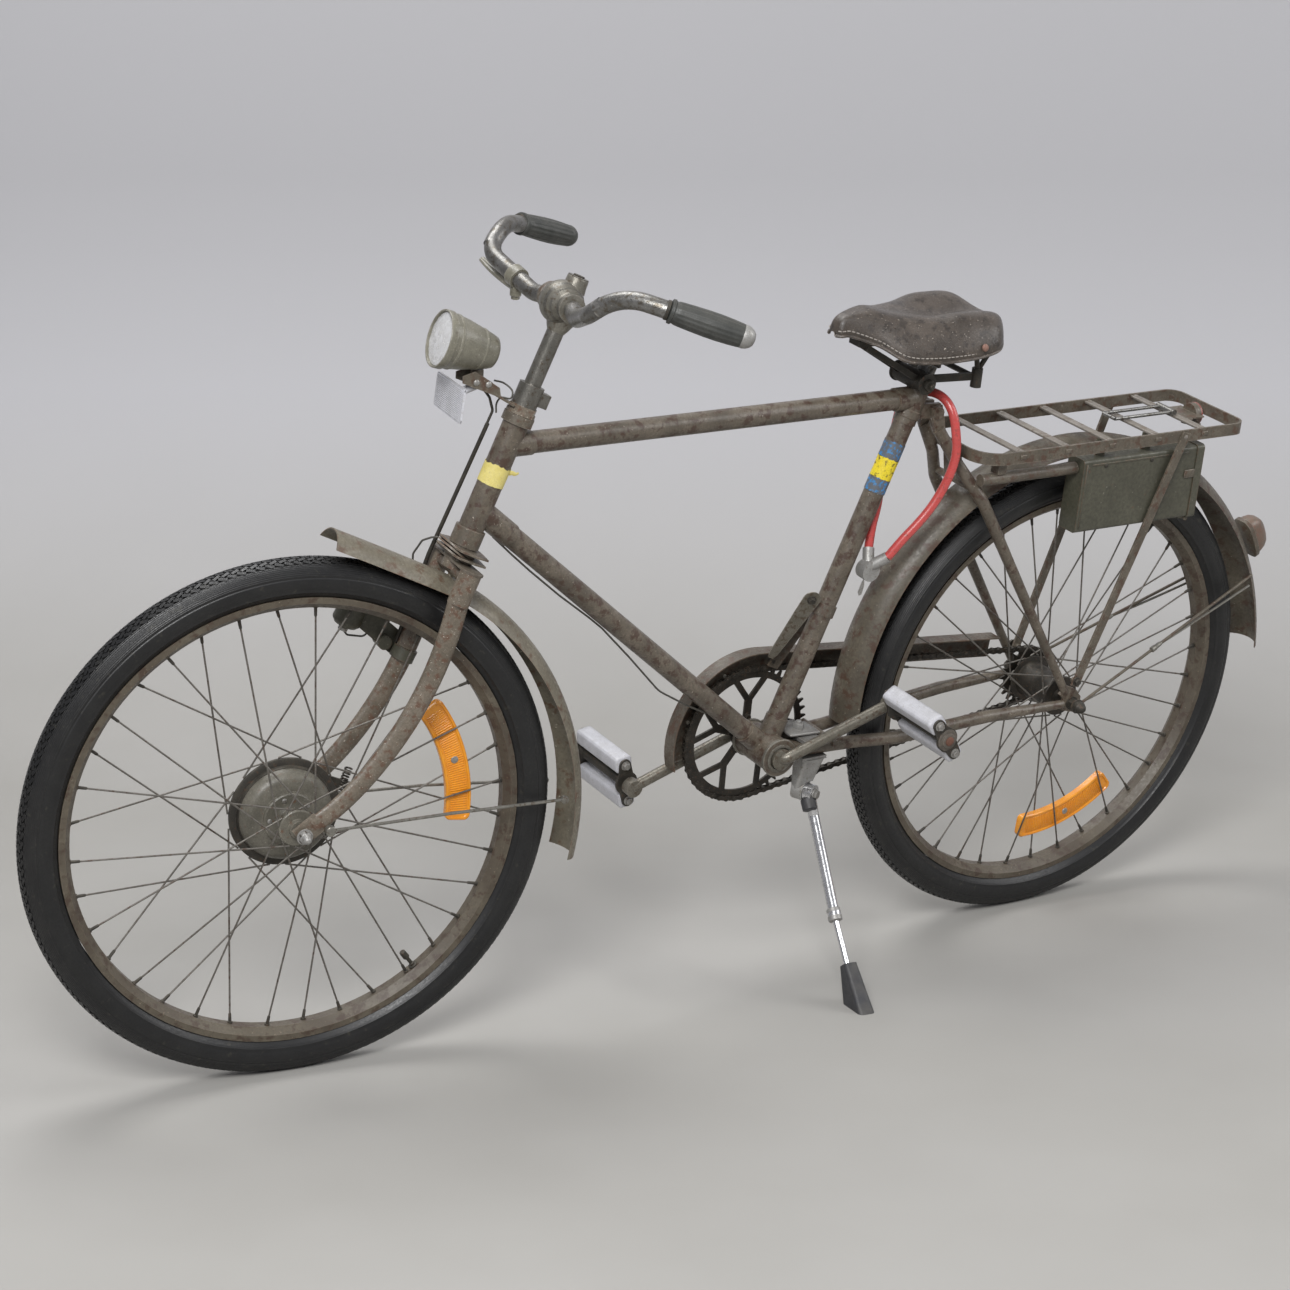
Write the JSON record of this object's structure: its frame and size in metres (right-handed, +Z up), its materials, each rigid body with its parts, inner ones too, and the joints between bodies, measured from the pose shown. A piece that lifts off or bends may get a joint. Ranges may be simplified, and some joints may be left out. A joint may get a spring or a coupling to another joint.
{
  "type": "army bicycle",
  "caption": "Steel army bicycle with rear carrier, tool box, lamps, block pedals and a cable lock, leaning on its side stand.",
  "frame": {"origin": "middle of the floor area that the parked bicycle covers, at floor level", "axes": "+X towards the front wheel along the bicycle, +Y to the rider's left, +Z up; the bicycle leans about 9.6 degrees to +Y on its stand"},
  "size_m": [1.9419, 0.6324, 1.0649],
  "materials": {
    "army_paint": "matt grey-green army paint, rubbed and rusted",
    "worn_steel": "dulled steel",
    "dark_steel": "dark oiled steel",
    "tyre_rubber": "black rubber",
    "grip_rubber": "black rubber",
    "amber_plastic": "amber reflector plastic",
    "white_plastic": "scuffed white plastic",
    "saddle_plastic": "grey-brown hide-grained saddle cover",
    "lamp_glass": "ribbed lamp glass",
    "red_plastic": "red reflector plastic",
    "red_cable": "red vinyl over a steel cable",
    "cast_aluminium": "bare cast aluminium"
  },
  "bodies": {
    "frame": {"bottom_bracket": "army_paint", "cable_lock": "cast_aluminium", "carrier_clip": "worn_steel", "carrier_frame": "army_paint", "carrier_legs": "army_paint", "chain": "dark_steel", "chain_guard": "army_paint", "chain_stays": "army_paint", "frame_lead": "grip_rubber", "head_tube": "army_paint", "headset_cups": "worn_steel", "lock_cable": "red_cable", "main_tubes": "army_paint", "rear_axle": "worn_steel", "rear_dropouts": "army_paint", "rear_mudguard": "army_paint", "rear_mudguard_stays": "worn_steel", "rear_reflector": "red_plastic", "saddle_cover": "saddle_plastic", "saddle_frame": "dark_steel", "seat_lug": "army_paint", "seat_post": "worn_steel", "seat_stays": "army_paint", "side_tube": "army_paint", "stand_bracket": "cast_aluminium", "tail_lamp": "army_paint", "toolbox": "army_paint"},
    "fork": {"fork_crown": "army_paint", "fork_blades": "army_paint", "front_axle": "worn_steel", "front_mudguard": "army_paint", "stem": "worn_steel", "handlebar": "worn_steel", "grips": "grip_rubber", "brake_lever": "worn_steel", "lamp_shell": "army_paint", "lamp_glass": "lamp_glass", "lamp_bracket": "dark_steel", "front_reflector": "white_plastic", "dynamo": "army_paint", "lamp_lead": "grip_rubber", "brake_rod": "dark_steel"},
    "front_wheel": {"front_tyre": "tyre_rubber", "front_rim": "army_paint", "front_hub": "dark_steel", "front_spokes": "worn_steel", "front_wheel_reflector": "amber_plastic"},
    "rear_wheel": {"rear_tyre": "tyre_rubber", "rear_rim": "army_paint", "rear_hub": "dark_steel", "rear_spokes": "worn_steel", "rear_wheel_reflector": "amber_plastic"},
    "rear_sprocket_body": {"rear_sprocket": "dark_steel"},
    "crankset": {"crank": "worn_steel", "chainring": "dark_steel"},
    "left_pedal_body": {"left_pedal": "white_plastic"},
    "right_pedal_body": {"right_pedal": "white_plastic"},
    "side_stand": {"stand_leg": "cast_aluminium", "stand_foot": "grip_rubber"},
    "toolbox_cover": {"toolbox_lid": "army_paint"}
  },
  "joints": [
    {"name": "steering", "type": "hinge", "parent": "frame", "child": "fork", "pos_m": [0.37931, -0.0167, 0.76794], "axis": [-0.3755, 0.1546, 0.9138], "range_deg": [-50.6, 69.4]},
    {"name": "front_wheel_spin", "type": "hinge", "parent": "fork", "child": "front_wheel", "pos_m": [0.62964, -0.10025, 0.34327], "axis": [0.1515, 0.983, -0.1041], "continuous": true},
    {"name": "rear_wheel_spin", "type": "hinge", "parent": "frame", "child": "rear_wheel", "pos_m": [-0.57548, -0.08883, 0.34053], "axis": [0.0002, 0.986, -0.1668], "continuous": true},
    {"name": "crank_spin", "type": "hinge", "parent": "frame", "child": "crankset", "pos_m": [-0.08447, -0.09133, 0.32622], "axis": [0.0002, 0.986, -0.1668], "range_deg": [-70, 240]},
    {"name": "rear_sprocket_spin", "type": "hinge", "parent": "frame", "child": "rear_sprocket_body", "pos_m": [-0.57549, -0.13616, 0.34854], "axis": [0.0002, 0.986, -0.1668], "range_deg": [-174, 582]},
    {"name": "left_pedal_spin", "type": "hinge", "parent": "crankset", "child": "left_pedal_body", "pos_m": [-0.23921, 0.03874, 0.37557], "axis": [0.0002, 0.986, -0.1668], "continuous": true},
    {"name": "right_pedal_spin", "type": "hinge", "parent": "crankset", "child": "right_pedal_body", "pos_m": [0.07027, -0.23423, 0.27904], "axis": [0.0002, 0.986, -0.1668], "continuous": true},
    {"name": "stand_fold", "type": "hinge", "parent": "frame", "child": "side_stand", "pos_m": [-0.1444, -0.07555, 0.25757], "axis": [-0.4445, 0.8832, -0.1498], "range_deg": [0, 112]},
    {"name": "toolbox_lid_swing", "type": "hinge", "parent": "frame", "child": "toolbox_cover", "pos_m": [-0.73072, 0.01038, 0.59419], "axis": [-0.0002, -0.986, 0.1668], "range_deg": [0, 100]}
  ],
  "couplings": [
    {"joint": "rear_sprocket_spin", "follows": "crank_spin", "ratio": 2.4}
  ]
}
